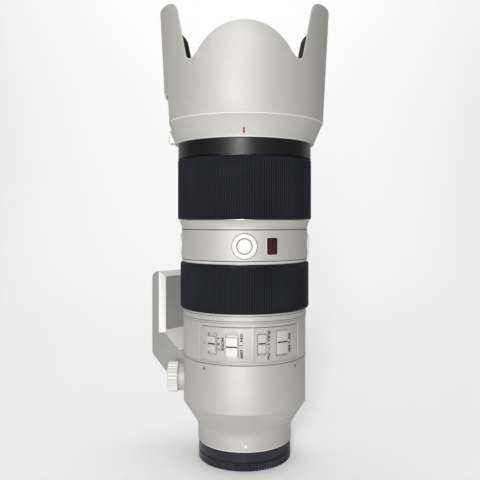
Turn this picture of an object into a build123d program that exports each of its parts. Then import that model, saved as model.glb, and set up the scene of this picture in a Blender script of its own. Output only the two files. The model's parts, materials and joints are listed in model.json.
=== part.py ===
from build123d import *
from math import cos, degrees, radians, sin, sqrt
import os

# A telephoto zoom lens with its hood, tripod foot and rear cap fitted.
# Z runs along the optical axis to the front. Z zero is the face that seats on the camera.
# Angles round the barrel are counted from the side with the switches, which faces -Y,
# and grow towards +X. All lengths are millimetres, all angles are degrees.

# Clearances
slip = 0.05
pass_gap = 0.3
seam = 0.2
overrun = 2.0

# Barrel sections along the axis, from the camera forward
neck_length = 11.1
cone_length = 14.8
collar_length = 29.4
switch_barrel_length = 25.1
zoom_skirt_length = 5.7
zoom_grip_length = 29.6
mid_barrel_length = 26.8
focus_grip_length = 39.2
front_ring_length = 9.7
hood_seat_length = 7.4

# Fixed tubes that carry everything
front_tube_radius = 39.2
tube_step = 3.2
tube_wall = 1.6
seat_wall = 1.0
plate_thickness = 2.0
plate_rim = 7.6

# How far each barrel section stands out from the tube under it
shell_wall = 1.5
collar_wall = 3.15
switch_wall = 1.1
zoom_skirt_wall = 1.4
zoom_grip_wall = 3.1
mid_foot_wall = 1.4
mid_wall = 2.3
mid_flare_wall = 3.8
focus_grip_wall = 4.8
front_ring_wall = 4.55

# Camera mount
flange_rim = 6.6
flange_thickness = 2.5
spigot_radius = 21.6
seal_width = 1.0
spigot_wall = 2.0
spigot_length = 5.0
claw_reach = 1.7
claw_height = 1.2
claw_drop = 2.2
claw_count = 3
claw_angle = 45.0
floor_thickness = 2.0
floor_bore_step = 0.4
mount_screw_count = 4
mount_screw_inset = 2.9
mount_screw_radius = 0.9
mount_screw_head_radius = 1.9
mount_screw_head_height = 1.2
baffle_thickness = 1.2
baffle_window_width = 30.0
baffle_window_height = 20.0
contact_block_depth = 3.4
contact_block_drop = 4.0
contact_block_angle = 62.0
contact_middle_angle = 180.0
contact_count = 10
contact_radius = 0.5
contact_proud = 0.6
contact_step_angle = 5.6
board_thickness = 1.6
board_width = 6.5

# Rear glass
rear_glass_radius = 18.0
rear_cell_wall = 2.0
rear_cell_length = 20.0
rear_cell_rise = 7.9
rear_cell_flange = 3.0
rear_rod_radius = 1.5
rear_rod_inset = 4.9
rear_rod_count = 2

# Focus group
focus_glass_inset = 12.4
focus_cell_wall = 1.8
focus_cell_length = 9.0
focus_cell_flange = 3.0
focus_cell_rise = 2.0
motor_thickness = 1.8
motor_angle = 50.0
motor_count = 2

# Iris
iris_rise = 22.0
iris_plate = 1.2
iris_wall = 0.7
blade_count = 9
blade_layer = 0.3
blade_thickness = 0.2
blade_band = 7.0
blade_sweep_angle = 72.0
blade_start_angle = 4.0
blade_pivot_inset = 8.8
blade_pin_radius = 0.7
blade_arm = 5.0
blade_arm_width = 3.0
iris_ring_thickness = 1.0
iris_ring_width = 5.4
iris_slot_play = 0.25

# Stabiliser
shift_travel = 0.8
shift_glass_inset = 16.9
shift_cell_wall = 2.0
shift_cell_length = 8.0
shift_flange_reach = 5.5
shift_flange = 2.0
shift_frame_thickness = 2.0

# Zoom group and its cam
zoom_turn_angle = 75.0
zoom_travel = 22.0
cam_wall = 1.4
cam_end_gap = 1.2
cam_start = 6.0
follower_count = 3
follower_radius = 1.5
follower_play = 0.1
follower_rise = 5.0
zoom_key_width = 6.0
zoom_key_height = 5.0
zoom_key_depth = 0.8
zoom_key_rise = 8.0
zoom_key_angle = 180.0
variator_glass_inset = 12.15
variator_cell_wall = 2.0
variator_cell_length = 16.0
variator_plate = 9.0
variator_start = 20.0
rod_radius = 1.25
rod_inset = 3.15
rod_count = 3
rod_phase_angle = 60.0

# Front glass
front_cell_wall = 2.2
front_cell_length = 30.0
front_cell_ledge = 1.6
front_cell_base = 2.5
front_cell_proud = 3.1
retainer_height = 2.6
filter_thread_step = 0.9
filter_thread_depth = 6.0

# Switches
panel_sink = 0.35
panel_thickness = 0.3
panel_left_angle = -42.5
panel_right_angle = 56.0
panel_margin = 1.9
panel_corner = 2.0
panel_rib_angle = 7.7
panel_rib_width = 0.8
panel_rib_proud = 0.3
switch_proud = 1.1
switch_base_thickness = 1.2
switch_base_reach = 1.0
mode_switch_angle = -29.4
mode_switch_width = 5.6
mode_switch_slot = 12.6
mode_switch_travel = 3.6
steady_switch_angle = -10.9
steady_switch_drop = 0.6
steady_switch_width = 7.3
steady_switch_slot = 12.9
steady_switch_travel = 1.4
range_switch_angle = 15.0
range_switch_width = 5.0
range_switch_slot = 12.3
range_switch_travel = 1.4
focus_switch_angle = 34.8
focus_switch_width = 7.8
focus_switch_slot = 15.4
focus_switch_travel = 1.4

# Hold buttons and badge
button_rise = 11.0
button_angles = [0, 90, -90]
button_radius = 4.5
button_proud = 1.0
button_travel = 0.5
boss_radius = 7.6
boss_proud = 0.8
badge_angle = 23.9
badge_width = 7.1
badge_height = 10.4
badge_thickness = 0.8
badge_proud = 0.15
badge_corner = 1.2
line_width = 0.4
line_depth = 0.3
mid_chamfer_height = 1.9
mid_line_height = 20.6

# Grips
grip_rubber = 2.0
grip_edge = 0.8

# Tripod collar, foot and lock knob
foot_angle = -128.0
foot_width = 34.0
foot_boss_proud = 3.3
foot_boss_rise = 2.0
foot_boss_height = 26.0
foot_outer_step = 26.7
foot_plate_thickness = 10.1
foot_elbow_step = 10.2
foot_elbow_rise = 9.7
foot_heel_rise = 22.6
foot_crotch_rise = 39.8
foot_top_rise = 80.9
foot_bevel = 3.5
foot_corner = 5.0
socket_radius = 3.175
socket_depth = 7.5
socket_rise = 51.9
foot_screw_radius = 2.0
foot_screw_head_radius = 3.4
foot_screw_head_height = 3.0
foot_screw_length = 10.0
foot_screw_spread = 8.0
foot_screw_low = 10.0
foot_screw_high = 21.0
knob_angle = -90.0
knob_radius = 10.0
knob_rise = 13.5
knob_length = 7.2
knob_boss_radius = 9.0
knob_boss_proud = 2.9
knob_flutes = 24
knob_flute_radius = 0.8
knob_shaft_radius = 2.5
knob_pad_radius = 3.5
knob_pad_thickness = 1.3

# Hood
hood_length = 85.6
hood_base_step = 2.05
hood_base_height = 0.8
hood_ridge_step = 5.9
hood_ridge_height = 13.2
hood_lip = 0.5
hood_mouth_step = 3.8
hood_wall = 1.9
hood_crest_height = 66.8
hood_shoulder_x = 28.0
hood_shoulder_height = 50.8
hood_notch_x = 34.1
hood_notch_height = 44.6
hood_petal_x = 41.5
hood_petal_height = 83.0
hood_notch_round = 2.4
hood_petal_round = 8.0
hood_lug_count = 3
hood_lug_angle = 32.0
hood_lug_height = 2.4
hood_lug_rise = 2.6
hood_lug_reach = 1.0
hood_fit_wall = 1.5
hood_collar_height = 7.0
window_angle = -90.0
window_height = 22.8
window_span_angle = 47.0
door_thickness = 1.4
door_overlap = 1.2
door_overlap_angle = 1.2
door_travel_angle = 38.0
rail_width = 1.5
rail_lip = 0.8
grip_span_angle = 6.0
grip_margin_angle = 1.0
door_grip_height = 3.0
release_rise = 4.0
release_width = 10.0
release_height = 5.6
release_proud = 4.2
release_sink = 1.2
release_travel = 0.8
release_round = 1.4

# Rear cap
cap_step = 0.5
cap_length = 11.6
cap_floor = 2.0
cap_wall = 1.6
cap_ring_wall = 1.5
cap_tab_height = 1.4
cap_upper_length = 5.8
cap_line = 0.5

# Heights where the barrel sections start
cone_base = neck_length
cone_top = cone_base + cone_length
collar_base = cone_top + seam
collar_top = collar_base + collar_length
switch_base = collar_top + seam
switch_top = switch_base + switch_barrel_length
zoom_base = switch_top + seam
zoom_grip_base = zoom_base + zoom_skirt_length
zoom_top = zoom_grip_base + zoom_grip_length
mid_base = zoom_top + seam
mid_top = mid_base + mid_barrel_length
focus_base = mid_top + seam
focus_top = focus_base + focus_grip_length
front_base = focus_top + seam
hood_base = front_base + front_ring_length
lens_front = hood_base + hood_seat_length
cam_base = switch_top + cam_start
variator_base = switch_top + variator_start
front_cell_low = front_base - front_cell_length + front_cell_proud
cam_top = front_cell_low - cam_end_gap
rear_cell_top = collar_base + rear_cell_rise
iris_bottom = rear_cell_top + iris_rise
knob_height = collar_base + knob_rise
socket_height = collar_base + socket_rise
foot_elbow_height = collar_base + foot_elbow_rise
foot_heel_height = collar_base + foot_heel_rise
foot_crotch_height = collar_base + foot_crotch_rise
foot_top_height = collar_base + foot_top_rise

# Radii and reaches that follow from the ones above
rear_tube_radius = front_tube_radius - tube_step
front_bore = front_tube_radius - tube_wall
rear_bore = rear_tube_radius - tube_wall
plate_bore_radius = front_bore - plate_rim
seat_radius = rear_tube_radius + seat_wall
collar_radius = seat_radius + slip + collar_wall
switch_barrel_radius = front_tube_radius + switch_wall
zoom_skirt_radius = front_tube_radius + zoom_skirt_wall
zoom_grip_radius = front_tube_radius + zoom_grip_wall
mid_foot_radius = front_tube_radius + mid_foot_wall
mid_radius = front_tube_radius + mid_wall
mid_flare_radius = front_tube_radius + mid_flare_wall
focus_grip_radius = front_tube_radius + focus_grip_wall
front_ring_radius = front_tube_radius + front_ring_wall
hood_base_radius = front_ring_radius + hood_base_step
hood_ridge_radius = hood_base_radius + hood_ridge_step
hood_mouth_radius = hood_ridge_radius + hood_mouth_step
spigot_bore = spigot_radius - spigot_wall
floor_bore_radius = spigot_radius + floor_bore_step
flange_radius = spigot_radius + flange_rim
mount_screw_circle = flange_radius - mount_screw_inset
neck_bore = flange_radius + seal_width
neck_radius = neck_bore + shell_wall
cap_radius = neck_radius - cap_step
claw_radius = spigot_radius + claw_reach
cam_radius = front_bore - slip
cam_bore = cam_radius - cam_wall
rod_circle = cam_bore - rod_inset
variator_glass_radius = cam_bore - variator_glass_inset
rear_rod_circle = rear_bore - rear_rod_inset
focus_glass_radius = rear_bore - focus_glass_inset
shift_glass_radius = rear_bore - shift_glass_inset
blade_pivot_circle = rear_bore - blade_pivot_inset
blade_reach = blade_pivot_circle - blade_pin_radius - pass_gap
iris_bore = blade_reach - blade_band - seam
front_glass_radius = front_bore - front_cell_wall
filter_thread_radius = front_bore + filter_thread_step
hood_seat_radius = hood_base_radius - hood_wall - hood_fit_wall - slip
hood_fit_bore = hood_seat_radius + slip
window_rise = hood_collar_height + pass_gap + door_overlap
panel_radius = switch_barrel_radius - panel_sink
foot_boss_reach = collar_radius + foot_boss_proud
foot_elbow_reach = foot_boss_reach + foot_elbow_step
foot_outer_reach = foot_boss_reach + foot_outer_step
foot_inner_reach = foot_outer_reach - foot_plate_thickness
knob_boss_reach = collar_radius + knob_boss_proud
release_reach = hood_base_radius + release_proud
release_root = hood_base_radius - release_sink
sleeve_bore = front_tube_radius + slip
focus_sleeve_radius = focus_grip_radius - grip_rubber
zoom_sleeve_radius = zoom_grip_radius - grip_rubber

SIT = (Align.CENTER, Align.CENTER, Align.MIN)


def disc(radius, low, high):
    """A round plate or plug on the axis between two heights."""
    return Pos(0, 0, low) * Cylinder(radius, high - low, align=SIT)


def ring(outer, bore, low, high):
    """A plain tube on the axis between two heights."""
    return disc(outer, low, high) - disc(bore, low, high)


def turned(*corners):
    """A solid of revolution from corners given as radius and height."""
    outline = make_face(Plane.XZ * Polyline(*corners, close=True))
    return revolve(outline, Axis.Z)


def arc_block(outer, bore, low, high, middle, span):
    """A piece of a ring that covers a span of degrees round a middle angle."""
    corners = [(bore, low), (outer, low), (outer, high), (bore, high)]
    outline = make_face(Plane.XZ * Polyline(*corners, close=True))
    return Rot(0, 0, middle - span / 2 - 90) * revolve(outline, Axis.Z, span)


def outward(angle, height):
    """A frame on the axis whose own Z points out of the barrel at an angle."""
    return Rot(0, 0, angle - 90) * Pos(0, 0, height) * Rot(0, 90, 0)


def radial_pin(radius, near, far, angle, height):
    """A round pin that stands out from the axis between two reaches."""
    return outward(angle, height) * disc(radius, near, far)


def radial_block(tall, wide, near, far, angle, height, corner=0):
    """A rectangular block that stands out from the axis between two reaches."""
    outline = RectangleRounded(tall, wide, corner) if corner else Rectangle(tall, wide)
    return outward(angle, height) * Pos(0, 0, near) * extrude(outline, far - near)


def around(count, phase=0):
    """Even angles round the axis."""
    return [phase + 360 * step / count for step in range(count)]


def upright(radius, low, high, circle, angle):
    """A pin parallel to the axis on a circle round it."""
    return Rot(0, 0, angle - 90) * Pos(circle, 0, 0) * disc(radius, low, high)


def joined(shapes):
    """Shapes kept as separate solids in one group."""
    return Compound(children=list(shapes))


def sag(radius, bulge, across):
    """How far a ball-shaped face has fallen from its top at a distance from the axis."""
    ball = (radius ** 2 + bulge ** 2) / (2 * abs(bulge))
    drop = ball - sqrt(ball ** 2 - across ** 2)
    return drop if bulge > 0 else -drop


def lens(radius, base, edge, front_bulge, rear_bulge):
    """One glass element with a flat edge and two curved faces."""
    top = base + edge
    half = radius / 2
    front_mid = (half, top + front_bulge - sag(radius, front_bulge, half))
    rear_mid = (half, base - rear_bulge + sag(radius, rear_bulge, half))
    axis_line = Line((0, base - rear_bulge), (0, top + front_bulge))
    front_face = ThreePointArc((0, top + front_bulge), front_mid, (radius, top))
    side = Line((radius, top), (radius, base))
    rear_face = ThreePointArc((radius, base), rear_mid, (0, base - rear_bulge))
    outline = make_face(Plane.XZ * (axis_line + front_face + side + rear_face))
    return revolve(outline, Axis.Z)


# Camera end

def mount_screw_angles():
    return around(mount_screw_count, 180 / mount_screw_count)


def mount_screw(angle):
    """A countersunk screw with its head flush with the flange face."""
    head = Cone(mount_screw_head_radius, mount_screw_radius, mount_screw_head_height, align=SIT)
    shank = disc(mount_screw_radius, 0, flange_thickness + floor_thickness)
    return Rot(0, 0, angle - 90) * Pos(mount_screw_circle, 0, 0) * (head + shank)


def mount_screws():
    return joined(mount_screw(angle) for angle in mount_screw_angles())


def mount_flange():
    """The metal bayonet: a plate, a spigot and three claws."""
    body = ring(flange_radius, spigot_bore, 0, flange_thickness)
    body += ring(spigot_radius, spigot_bore, -spigot_length, 0)
    for angle in around(claw_count):
        body += arc_block(claw_radius, spigot_radius - spigot_wall / 2,
                          -claw_drop - claw_height, -claw_drop, angle, claw_angle)
    for angle in mount_screw_angles():
        body -= mount_screw(angle)
    return body


def mount_seal():
    """The rubber ring that keeps dust out round the flange."""
    return ring(neck_bore, flange_radius, 0, flange_thickness)


def rear_barrel():
    """The painted neck and cone, with a floor for the mount and a top plate."""
    slope = (collar_radius - neck_radius) / cone_length
    plate_low = cone_top - plate_thickness
    cone_bore_top = collar_radius - slope * plate_thickness - shell_wall
    body = turned((floor_bore_radius, flange_thickness), (neck_bore, flange_thickness), (neck_bore, 0),
                  (neck_radius, 0), (neck_radius, cone_base), (collar_radius, cone_top),
                  (rear_bore, cone_top), (rear_bore, plate_low), (cone_bore_top, plate_low),
                  (neck_bore, cone_base), (neck_bore, flange_thickness + floor_thickness),
                  (floor_bore_radius, flange_thickness + floor_thickness))
    for angle in mount_screw_angles():
        body -= mount_screw(angle)
    return body


def baffle_plate():
    """The black mask with a rectangular window behind the rear glass."""
    plate = disc(floor_bore_radius, flange_thickness, flange_thickness + baffle_thickness)
    window_depth = flange_thickness + baffle_thickness + overrun
    window = Box(baffle_window_width, baffle_window_height, window_depth, align=SIT)
    return plate - window


def contact_block():
    return arc_block(spigot_bore, spigot_bore - contact_block_depth, -contact_block_drop,
                     flange_thickness, contact_middle_angle, contact_block_angle)


def contact_pins():
    """Gold pads that touch the camera's own contacts."""
    pads = []
    circle = spigot_bore - contact_block_depth / 2
    for index in range(contact_count):
        angle = contact_middle_angle + contact_step_angle * (index - (contact_count - 1) / 2)
        pads.append(upright(contact_radius, -contact_block_drop - contact_proud, -contact_block_drop,
                            circle, angle))
    return joined(pads)


def main_board():
    """The ring-shaped circuit board on the floor of the neck."""
    low = flange_thickness + floor_thickness
    return ring(neck_bore, neck_bore - board_width, low, low + board_thickness)


# Fixed tubes

def chassis_tube():
    """The stepped tube that carries every fixed piece."""
    body = ring(rear_tube_radius, rear_bore, cone_top, switch_top - plate_thickness)
    body += ring(front_tube_radius, plate_bore_radius, switch_top - plate_thickness, switch_top)
    body += ring(front_tube_radius, front_bore, switch_top, front_base)
    slot_base = zoom_grip_base + zoom_key_rise
    key_span = degrees(zoom_key_width / front_tube_radius)
    slot = arc_block(front_tube_radius + overrun, front_bore - overrun,
                     slot_base - pass_gap, slot_base + zoom_key_height + pass_gap,
                     zoom_key_angle + zoom_turn_angle / 2, zoom_turn_angle + 2 * key_span)
    return body - slot


def collar_seat():
    """The polished tube that the tripod collar turns on."""
    return ring(seat_radius, rear_tube_radius, cone_top, switch_base)


def switch_places():
    """Name, angle, middle height, width, slot length and travel of each switch, and its rest end."""
    middle = switch_base + switch_barrel_length / 2
    return [
        ("mode_switch", mode_switch_angle, middle, mode_switch_width, mode_switch_slot,
         mode_switch_travel, 0),
        ("steady_switch", steady_switch_angle, middle - steady_switch_drop, steady_switch_width,
         steady_switch_slot, steady_switch_travel, -1),
        ("range_switch", range_switch_angle, middle, range_switch_width, range_switch_slot,
         range_switch_travel, 1),
        ("focus_switch", focus_switch_angle, middle, focus_switch_width, focus_switch_slot,
         focus_switch_travel, 1),
    ]


def cut_switch_slots(body):
    for name, angle, middle, wide, slot, travel, end in switch_places():
        body -= radial_block(slot, wide, front_tube_radius - overrun, switch_barrel_radius + overrun,
                             angle, middle)
    return body


def panel_block(reach):
    """The panel's place in the barrel, from the floor of its pocket out to a reach."""
    low = switch_base + panel_margin
    high = switch_top - panel_margin
    middle = (panel_left_angle + panel_right_angle) / 2
    span = panel_right_angle - panel_left_angle
    block = arc_block(reach, panel_radius - panel_thickness, low, high, middle, span)
    corners = block.edges().filter_by(lambda edge: edge.length < panel_thickness + panel_sink + 2 * overrun)
    return fillet(corners, panel_corner)


def switch_barrel():
    """The painted shell round the switches, with a shallow pocket for their panel."""
    body = ring(switch_barrel_radius, front_tube_radius, switch_base, switch_top)
    body += ring(front_tube_radius, rear_tube_radius, switch_base, switch_base + shell_wall)
    body -= panel_block(switch_barrel_radius + overrun)
    return cut_switch_slots(body)


def switch_panel():
    """The thin sunk plate with the slots and one dividing rib."""
    rib_span = degrees(panel_rib_width / panel_radius)
    rib = arc_block(panel_radius + panel_rib_proud, panel_radius - panel_thickness,
                    switch_base + panel_margin, switch_top - panel_margin, panel_rib_angle, rib_span)
    return cut_switch_slots(panel_block(panel_radius) + rib)


def sliding_switch(angle, middle, wide, slot, travel, end):
    """A slider that stands through its slot, with a wider base under the barrel wall."""
    height = middle + end * travel / 2
    knob_long = slot - travel - 2 * slip
    knob_wide = wide - 2 * slip
    top = panel_radius + switch_proud
    base_top = sqrt(front_tube_radius ** 2 - (wide / 2 + switch_base_reach) ** 2) - slip
    knob = radial_block(knob_long, knob_wide, base_top, top, angle, height)
    base = radial_block(knob_long + 2 * switch_base_reach, wide + 2 * switch_base_reach,
                        base_top - switch_base_thickness, base_top, angle, height)
    return knob + base


def mid_barrel():
    """The painted band between the grips, with three button bosses and a badge seat."""
    line_height = mid_base + mid_line_height
    body = turned((front_tube_radius, mid_base), (mid_foot_radius, mid_base),
                  (mid_radius, mid_base + mid_chamfer_height), (mid_radius, line_height),
                  (mid_flare_radius, mid_top), (front_tube_radius, mid_top))
    for height in (mid_base + mid_chamfer_height, line_height):
        body -= ring(mid_radius + overrun, mid_radius - line_depth, height, height + line_width)
    height = mid_base + button_rise
    for angle in button_angles:
        body += radial_pin(boss_radius, front_tube_radius + slip, mid_radius + boss_proud, angle, height)
        body -= radial_pin(button_radius + slip, front_tube_radius - overrun, mid_radius + overrun,
                           angle, height)
    body -= disc(front_tube_radius, mid_base, mid_top)
    return body - badge_plate()


def hold_button(angle):
    """A push button that sits in its boss."""
    height = mid_base + button_rise
    near = front_tube_radius + button_travel + slip
    return radial_pin(button_radius, near, mid_radius + button_proud, angle, height)


def badge_plate():
    """A plain dark red plate let into the barrel."""
    edge = sqrt(mid_radius ** 2 - (badge_width / 2) ** 2)
    plate = radial_block(badge_height, badge_width, edge - badge_thickness, mid_radius + badge_proud,
                         badge_angle, mid_base + button_rise, badge_corner)
    return plate & disc(mid_radius + badge_proud, mid_base, mid_top)


# Grips

def focus_sleeve():
    return ring(focus_sleeve_radius, sleeve_bore, focus_base, focus_top)


def grip_band(radius, low, high):
    """A rubber band with softened edges."""
    band = ring(radius, radius - grip_rubber, low, high)
    outer_edges = band.edges().filter_by(lambda edge: edge.length > 6 * radius)
    return chamfer(outer_edges, grip_edge)


def focus_rubber():
    return grip_band(focus_grip_radius, focus_base + seam, focus_top - seam)


def zoom_rubber():
    return grip_band(zoom_grip_radius, zoom_grip_base, zoom_top)


def zoom_key():
    """The block that ties the zoom ring to the cam tube through the chassis."""
    height = zoom_grip_base + zoom_key_rise
    return radial_block(zoom_key_height, zoom_key_width, cam_radius - cam_wall / 2,
                        sleeve_bore + zoom_key_depth, zoom_key_angle, height + zoom_key_height / 2)


def zoom_sleeve():
    """The zoom ring's painted skirt and the sleeve under its rubber."""
    body = ring(zoom_sleeve_radius, sleeve_bore, zoom_grip_base, zoom_top)
    body += ring(zoom_skirt_radius, sleeve_bore, zoom_base, zoom_grip_base)
    return body - zoom_key()


# Zoom group

def cam_slot(angle):
    """A helical slot for one follower."""
    middle_radius = cam_radius - cam_wall / 2
    base = variator_base + follower_rise
    wide = 2 * (follower_radius + follower_play)
    pitch = zoom_travel * 360 / zoom_turn_angle
    path = Helix(pitch, zoom_travel, middle_radius, lefthand=True)
    start = Plane(origin=path @ 0, z_dir=path % 0, x_dir=(1, 0, 0))
    cutter = sweep(start * Rectangle(2 * cam_wall, wide), path=path, is_frenet=True)
    cutter = Rot(0, 0, angle - 90) * Pos(0, 0, base) * cutter
    reach = middle_radius + cam_wall
    for turn, rise in ((0, 0), (-zoom_turn_angle, zoom_travel)):
        cutter += radial_pin(wide / 2, middle_radius - cam_wall, reach, angle + turn, base + rise)
    return cutter


def cam_tube():
    """The inner tube that turns with the zoom ring and drives the zoom group."""
    body = ring(cam_radius, cam_bore, cam_base, cam_top)
    body += zoom_key() - disc(cam_radius - cam_wall / 2, cam_base, cam_top)
    for angle in around(follower_count):
        body -= cam_slot(angle)
    return body


def variator_cell():
    """The carrier of the zoom group, guided by rods and driven by three followers."""
    base = variator_base
    bore = variator_glass_radius
    body = ring(bore + variator_cell_wall, bore, base, base + variator_cell_length)
    body += ring(cam_bore - pass_gap, bore, base, base + variator_plate)
    for angle in around(rod_count, rod_phase_angle):
        body -= upright(rod_radius + slip, base - overrun, base + variator_cell_length,
                        rod_circle, angle)
    for angle in around(follower_count):
        body += radial_pin(follower_radius, cam_bore - 2 * follower_radius, cam_radius - slip,
                           angle, base + follower_rise)
    return body


def variator_glass():
    base = variator_base
    edge = variator_cell_length / 4
    rear = lens(variator_glass_radius, base + edge / 2, edge, -edge / 2, edge / 3)
    front = lens(variator_glass_radius, base + 2 * edge, edge, edge / 2, -edge / 3)
    return joined([rear, front])


def guide_rods():
    """Polished rods: three for the zoom group and two for the focus group."""
    rods = []
    for angle in around(rod_count, rod_phase_angle):
        rods.append(upright(rod_radius, switch_top, front_cell_low, rod_circle, angle))
    for angle in around(rear_rod_count, 90):
        rods.append(upright(rear_rod_radius, rear_cell_top, iris_bottom, rear_rod_circle, angle))
    return joined(rods)


# Front glass

def front_cell():
    """The threaded cell that holds the large front elements."""
    body = ring(front_bore, front_glass_radius, front_cell_low, front_base + front_cell_proud)
    body += ring(front_bore, plate_bore_radius, front_cell_low, front_cell_low + front_cell_base)
    for height in front_element_bases()[1:]:
        body += ring(front_bore, front_glass_radius - front_cell_ledge,
                     height - front_cell_ledge, height)
    return body


def front_element_bases():
    pitch = (front_cell_length - front_cell_base) / 3
    return [front_cell_low + front_cell_base + step * pitch for step in range(3)]


def front_glass():
    edge = front_cell_length / 6
    bulge = edge / 2
    first, second, third = front_element_bases()
    return joined([
        lens(front_glass_radius, first, edge, bulge, -bulge),
        lens(front_glass_radius, second, edge, bulge, -bulge / 2),
        lens(front_glass_radius, third, third - second - pass_gap, bulge, -bulge / 2),
    ])


def front_ring():
    """The black front of the barrel with the filter thread and the hood bayonet."""
    groove_low = hood_base + hood_lug_rise - slip
    groove_high = groove_low + hood_lug_height + 2 * slip
    body = ring(front_ring_radius, front_bore, front_base, hood_base)
    body += ring(hood_seat_radius, front_bore, hood_base, lens_front)
    body -= ring(hood_seat_radius + overrun, hood_seat_radius - hood_lug_reach - slip,
                 groove_low, groove_high)
    body -= disc(filter_thread_radius, lens_front - filter_thread_depth, lens_front)
    return body


def front_retainer():
    """The plain black ring that clamps the front element."""
    low = front_base + front_cell_proud
    return ring(front_bore, front_glass_radius - front_cell_ledge, low, low + retainer_height)


# Rear glass

def rear_cell():
    """The tube of the rear elements, hung from its flange in the chassis."""
    low = rear_cell_top - rear_cell_length
    body = ring(rear_glass_radius + rear_cell_wall, rear_glass_radius, low, rear_cell_top)
    return body + ring(rear_bore, rear_glass_radius, rear_cell_top - rear_cell_flange, rear_cell_top)


def rear_glass():
    low = rear_cell_top - rear_cell_length
    edge = rear_cell_length / 5
    return joined([
        lens(rear_glass_radius, low + edge / 2, edge, edge / 3, edge / 3),
        lens(rear_glass_radius, low + 3 * edge, edge, edge / 2, -edge / 3),
    ])


# Focus group

def focus_cell_base():
    return rear_cell_top + focus_cell_rise


def focus_cell():
    """The carrier of the focus group on its two rods."""
    low = focus_cell_base()
    bore = focus_glass_radius
    outer = rear_bore - motor_thickness - pass_gap
    body = ring(bore + focus_cell_wall, bore, low, low + focus_cell_length)
    body += ring(outer, bore, low, low + focus_cell_flange)
    for angle in around(rear_rod_count, 90):
        body -= upright(rear_rod_radius + slip, low - overrun, low + focus_cell_length,
                        rear_rod_circle, angle)
    return body


def focus_glass():
    edge = focus_cell_length / 2
    return lens(focus_glass_radius, focus_cell_base() + edge / 2, edge, -edge / 3, edge / 3)


def focus_motor():
    """Two curved linear motor magnets on the chassis wall."""
    magnets = []
    for angle in around(motor_count):
        magnets.append(arc_block(rear_bore, rear_bore - motor_thickness, rear_cell_top, iris_bottom,
                                 angle, motor_angle))
    return joined(magnets)


# Iris

def blade_floor():
    return iris_bottom + iris_plate + blade_thickness


def iris_ring_floor():
    return blade_floor() + blade_count * blade_layer + blade_thickness


def iris_top():
    return iris_ring_floor() + iris_ring_thickness


def iris_base():
    """The iris plate with a low wall and one pivot pin per blade."""
    body = ring(rear_bore, iris_bore, iris_bottom, iris_bottom + iris_plate)
    body += ring(rear_bore, rear_bore - iris_wall, iris_bottom, iris_top())
    for angle in around(blade_count):
        body += upright(blade_pin_radius, iris_bottom, iris_ring_floor() - blade_thickness,
                        blade_pivot_circle, angle)
    return body


def iris_ring():
    """The ring that swings all blades at once through its radial slots."""
    outer = rear_bore - iris_wall - slip
    body = ring(outer, outer - iris_ring_width, iris_ring_floor(), iris_top())
    for angle in around(blade_count):
        body -= radial_block(iris_ring_thickness + 2 * overrun, 2 * (blade_pin_radius + iris_slot_play),
                             blade_pivot_circle + blade_arm - 3 * blade_pin_radius,
                             blade_pivot_circle + blade_arm + 2 * blade_pin_radius,
                             angle, iris_ring_floor() + iris_ring_thickness / 2)
    return body


def iris_blade(index, angle):
    """A curved blade with a pivot hole and a drive pin, in a layer of its own."""
    low = blade_floor() + index * blade_layer
    high = low + blade_thickness
    span = blade_sweep_angle + 3 / 2 * blade_start_angle
    middle = angle - blade_start_angle / 2 + span / 2
    blade = arc_block(blade_reach, blade_reach - blade_band, low, high, middle, span)
    arm = Box(2 * blade_arm, blade_arm_width, blade_thickness, align=SIT)
    blade += Rot(0, 0, angle - 90) * Pos(blade_pivot_circle, 0, low) * arm
    blade -= upright(blade_pin_radius + slip, low - overrun, high + overrun, blade_pivot_circle, angle)
    pin_circle = blade_pivot_circle + blade_arm - blade_pin_radius / 2
    blade += upright(blade_pin_radius, low, iris_top(), pin_circle, angle)
    return blade


# Stabiliser

def shift_frame_top():
    return switch_top - plate_thickness - pass_gap


def shift_flange_top():
    return shift_frame_top() - shift_frame_thickness - pass_gap


def shift_cell_bore():
    return shift_glass_radius + shift_cell_wall


def shift_frame():
    """The plate that shifts the stabiliser sideways under the chassis shoulder."""
    high = shift_frame_top()
    outer = rear_bore - shift_travel - pass_gap
    return ring(outer, shift_cell_bore() + shift_travel + pass_gap, high - shift_frame_thickness, high)


def shift_cell():
    """The stabiliser's lens cell, hung under its frame by a wide flange."""
    high = shift_frame_top()
    flange_high = shift_flange_top()
    body = ring(shift_cell_bore(), shift_glass_radius, high - shift_cell_length, high)
    return body + ring(shift_cell_bore() + shift_flange_reach, shift_glass_radius,
                       flange_high - shift_flange, flange_high)


def shift_glass():
    edge = shift_cell_length / 2
    return lens(shift_glass_radius, shift_frame_top() - shift_cell_length + edge / 2, edge,
                edge / 3, edge / 3)


# Tripod collar, foot and lock knob

def foot_plane():
    """Local X points out of the barrel at the foot, local Y is up."""
    turn = radians(foot_angle)
    outward_dir = (sin(turn), -cos(turn), 0)
    return Plane(origin=(0, 0, 0), x_dir=outward_dir, z_dir=(-cos(turn), -sin(turn), 0))


def foot_screw(side, height):
    """A cap screw that is put in from inside the collar."""
    wall = sqrt((seat_radius + slip) ** 2 - (foot_screw_spread - foot_screw_head_radius) ** 2) + slip
    head_end = wall + foot_screw_head_height
    head = disc(foot_screw_head_radius, wall, head_end)
    shank = disc(foot_screw_radius, head_end, head_end + foot_screw_length)
    place = outward(foot_angle, collar_base + height) * Pos(0, side * foot_screw_spread, 0)
    return place * (head + shank)


def foot_screw_places():
    return [(side, height) for side in (-1, 1) for height in (foot_screw_low, foot_screw_high)]


def foot_screws():
    return joined(foot_screw(side, height) for side, height in foot_screw_places())


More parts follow.
